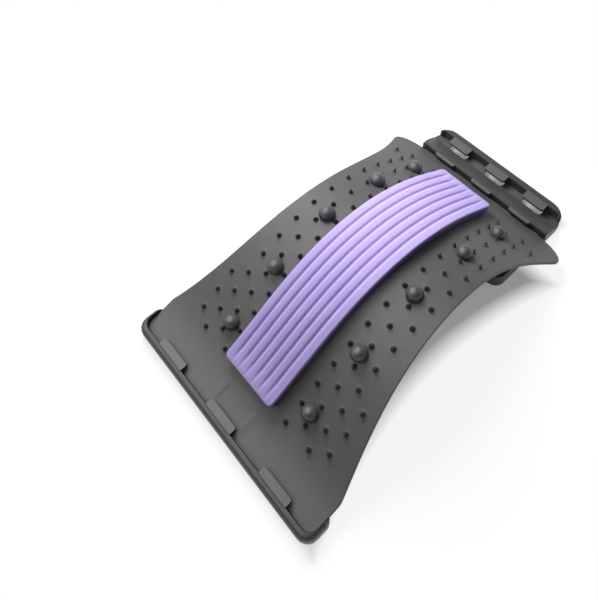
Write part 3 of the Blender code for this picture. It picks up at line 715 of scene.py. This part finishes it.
def moulded_plastic(name, rough, edge_highlight, dark, light, painted_spike_shade=0, hook_top_sheen=0):
    """Satin black plastic: grey between dark and light, with a painted highlight on edges and
    painted shade in hollows.

    Spikes on the sheet are darkened by painted shade and hook tops paled by a painted sheen, each
    by its share.
    """
    finish = Finish(name)
    cloud, fine, grain = finish.noise(28, 4), finish.noise(420, 3, 0.6), finish.noise(3200, 2)
    pointed = finish.pointed()
    # Painted highlight: outer edges are made paler
    edge = finish.spread(pointed, *EDGE_POINTED, 0, edge_highlight)
    colour = finish.blend(cloud, (dark, dark, dark * 1.01), (light, light, light * 1.01))
    colour = finish.blend(edge, colour, EDGE_HIGHLIGHT_GREY)
    # Painted shade: hollows are made darker
    colour = finish.blend(finish.spread(pointed, *HOLLOW_POINTED, 0.7, 0), colour, HOLLOW_SHADE_GREY)
    # Painted shade: the spikes, above the sheet, are made darker
    spike = finish.spread(finish.above(), *SPIKE_SHADE, 0, painted_spike_shade)
    colour = finish.blend(spike, colour, SPIKE_SHADE_GREY)
    # Painted sheen: the hook tops are made paler
    hook_top = finish.spread(finish.axes()["Z"], *HOOK_TOPS, 0, hook_top_sheen)
    finish.surface({"Base Color": finish.blend(hook_top, colour, HOOK_SHEEN_GREY), "IOR": 1.5})
    both = finish.reckon("ADD", finish.reckon("MULTIPLY", cloud, 0.6),
                         finish.reckon("MULTIPLY", fine, 0.4))
    finish.rough(both, rough - 0.04, rough + 0.04)
    finish.bump((cloud, 0.00025), (grain, 0.00003))
    return finish.material


def foam(name):
    """Closed-cell foam: lilac, paler where cells show, with painted shade in grooves and down the
    walls.
    """
    finish = Finish(name)
    cloud, cells, pores = finish.noise(40, 3), finish.noise(1500, 3, 0.6), finish.noise(5200, 2)
    hollow = finish.spread(finish.pointed(), *GROOVE_POINTED, 1, 0)
    colour = finish.blend(cloud, *FOAM_LILACS)
    colour = finish.blend(finish.spread(cells, 0.35, 0.65, 0, 0.25), colour, CELL_LILAC)
    # Painted shade: grooves are made darker
    colour = finish.blend(finish.reckon("MULTIPLY", hollow, 0.35), colour, GROOVE_SHADE_LILAC)
    # Painted shade: the walls are made darker below the pad's top
    wall = finish.spread(finish.above(), *PAD_WALL, 0.85, 0)
    colour = finish.blend(wall, colour, WALL_SHADE_LILAC)
    finish.surface({"Base Color": colour, "Specular IOR Level": 0.25})
    finish.rough(cells, 0.80, 0.95)
    finish.bump((cells, 0.00010), (pores, 0.00004))
    return finish.material


def polished(name):
    """The beads' dull gloss."""
    finish = Finish(name)
    cloud, haze = finish.noise(90, 3), finish.noise(900, 4, 0.6)
    finish.surface({"Base Color": finish.blend(cloud, *BEAD_GREYS), "IOR": 1.6})
    finish.rough(haze, 0.29, 0.39)
    finish.bump((haze, 0.00001), (cloud, 0.00004))
    return finish.material


def plated(name):
    """The clips' plated spring steel."""
    finish = Finish(name)
    cloud, scratch = finish.noise(220, 4, 0.6), finish.noise(2600, 3, 0.7)
    finish.surface({"Base Color": finish.blend(cloud, *PLATE_GREYS), "Metallic": 1})
    finish.rough(scratch, 0.28, 0.46)
    finish.bump((scratch, 0.00001))
    return finish.material


def sticky_tape(name):
    """The tape's yellowish white."""
    finish = Finish(name)
    cloud, fibre = finish.noise(120, 3), finish.noise(2400, 3, 0.7)
    finish.surface({"Base Color": finish.blend(cloud, *TAPE_WHITES)})
    finish.rough(fibre, 0.55, 0.75)
    finish.bump((fibre, 0.00003))
    return finish.material


def put_on(obj, material):
    """Gives a mesh one material."""
    obj.data.materials.clear()
    obj.data.materials.append(material)


def soft_box(name, toward, distance, wide, high, radiance, lights):
    """A lamp turned to the middle of the object, round where it has no height.

    It lights the surfaces' colour, their shine or both.
    """
    lamp = bpy.data.lights.new(name, "AREA")
    lamp.shape = "RECTANGLE" if high else "DISK"
    lamp.size, lamp.size_y = wide, high or wide
    lamp.energy = WATTS * radiance * (wide * high if high else math.pi * wide**2 / 4)
    made = bpy.data.objects.new(name, lamp)
    way = Vector(toward).normalized()
    made.location = Vector(LIT) + way * distance
    made.rotation_mode = "QUATERNION"
    made.rotation_quaternion = way.to_track_quat("Z", "Y")
    made.visible_glossy, made.visible_diffuse = lights != "colour", lights != "shine"
    bpy.context.scene.collection.objects.link(made)


def past_plan(finish):
    """How far a place on the paper lies past the object's plan, and past the far block's."""
    axes = finish.axes()
    across, along = finish.reckon("ABSOLUTE", axes["Y"]), axes["X"]
    bow = finish.reckon("SUBTRACT", along, ARCH_WAIST[0])
    bow = finish.reckon("MULTIPLY", finish.reckon("MULTIPLY", bow, bow), ARCH_SPREAD)
    beside = finish.reckon("SUBTRACT", finish.reckon("SUBTRACT", across, bow), ARCH_WAIST[1])
    beyond = finish.reckon("MAXIMUM", finish.reckon("SUBTRACT", ARCH_PLAN[0], along),
                           finish.reckon("SUBTRACT", along, ARCH_PLAN[1]))
    by_block = finish.reckon("MAXIMUM", finish.reckon("SUBTRACT", along, BLOCK_PLAN[1]),
                             finish.reckon("SUBTRACT", across, BLOCK_PLAN[2]))
    near_side = finish.reckon("SUBTRACT", BLOCK_PLAN[0], along)
    by_block = finish.reckon("MAXIMUM", near_side, by_block)
    by_arch = finish.reckon("MAXIMUM", beside, beyond)
    return finish.reckon("MINIMUM", by_arch, by_block), by_block


def floor_paper():
    """White paper, which camera, glossy and transmission rays see brighter past the object."""
    finish = Finish("floor_paper")
    rays = finish.node("ShaderNodeLightPath").outputs
    seen = finish.reckon("MAXIMUM", rays["Is Camera Ray"], rays["Is Glossy Ray"])
    seen = finish.reckon("MAXIMUM", seen, rays["Is Transmission Ray"])
    outside, by_block = past_plan(finish)

    colour = finish.blend(finish.noise(3, 2), *PAPER_WHITES)
    # Painted shade: the paper under the far block's windows is made darker
    colour = finish.blend(finish.spread(by_block, *UNDER_BLOCK, 1, 0), colour, SHADED_PAPER)
    bright = finish.reckon("MULTIPLY", seen, finish.spread(outside, *WHITE_FROM, 0, 1))
    colour = finish.blend(bright, colour, (SEEN_FLOOR, SEEN_FLOOR, SEEN_FLOOR * 0.99))
    finish.surface({"Base Color": colour, "Roughness": 0.9, "Specular IOR Level": 0.1})

    away = finish.node("ShaderNodeVectorMath", operation="LENGTH")
    finish.feed(away, {"Vector": finish.place})
    share = finish.reckon("MAXIMUM", finish.spread(outside, *WHITE_FROM, *WHITE_SHARE),
                          finish.spread(away.outputs["Value"], *ALL_WHITE, 0, 1))
    white, both = finish.node("ShaderNodeEmission"), finish.node("ShaderNodeMixShader")
    share = finish.reckon("MULTIPLY", seen, share)
    finish.feed(both, {0: share, 1: finish.shader.outputs[0], 2: white.outputs[0]})
    finish.feed(finish.tree.nodes["Material Output"], {"Surface": both.outputs[0]})
    return finish.material


def build_floor():
    """Paper that lies flat under the object and turns up into a round backdrop."""
    skin = Skin()
    last = skin.add([(0, 0, FLOOR_Z)])
    for radius, height in COVE:
        around = ring_round(0, 0, radius, COVE_SIDES)
        last = skin.grow(last, skin.add([(a, b, FLOOR_Z + height) for a, b in around]))
    floor = skin.object("floor", bend=False)
    put_on(floor, floor_paper())


def light_scene():
    """A plain world and the lamps."""
    world = bpy.data.worlds.new("studio")
    bpy.context.scene.world = world
    world.use_nodes = True
    inputs = world.node_tree.nodes["Background"].inputs
    inputs["Color"].default_value = (1, 1, 1, 1)
    inputs["Strength"].default_value = WORLD_LEVEL
    for lamp in LAMPS:
        soft_box(*lamp)


def place_camera():
    """The camera that was fitted to the photo."""
    camera = bpy.data.cameras.new("camera")
    camera.sensor_fit = "HORIZONTAL"
    camera.sensor_width = SENSOR
    camera.lens = FOCAL * SENSOR / PHOTO[0]
    camera.shift_y = (AXIS_AT - PHOTO[1] / 2) / PHOTO[0]
    made = bpy.data.objects.new("camera", camera)
    turn = Matrix((CAMERA_RIGHT, CAMERA_UP, CAMERA_BACK)).transposed().to_4x4()
    made.matrix_world = Matrix.Translation(CAMERA_AT) @ turn
    bpy.context.scene.collection.objects.link(made)
    bpy.context.scene.camera = made


arch = build_arch()
pad = build_pad()
tape = build_tape()
for piece, node in ((arch, "arch_board"), (pad, "foam_pad"), (tape, "pad_tape")):
    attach(piece, "frame")
    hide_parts(node)
    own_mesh(piece)

put_on(arch, moulded_plastic(
    "moulded_plastic_arch", rough=0.50, edge_highlight=0.35, dark=0.088, light=0.100, painted_spike_shade=0.8))
put_on(pad, foam("closed_cell_foam"))
put_on(tape, sticky_tape("sticky_tape"))
put_on(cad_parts["base_board"], moulded_plastic(
    "moulded_plastic_base", rough=0.44, edge_highlight=0.35, dark=0.050, light=0.058, hook_top_sheen=0.8))
black_gloss, zinc = polished("polished_black"), plated("plated_steel")
for number, side, s, y in bead_places():
    put_on(build_bead(number, side, s, y), black_gloss)
    put_on(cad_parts[f"bead_clip_{number}_{side}"], zinc)

build_floor()
light_scene()
place_camera()
bpy.context.scene.view_settings.view_transform = "Standard"
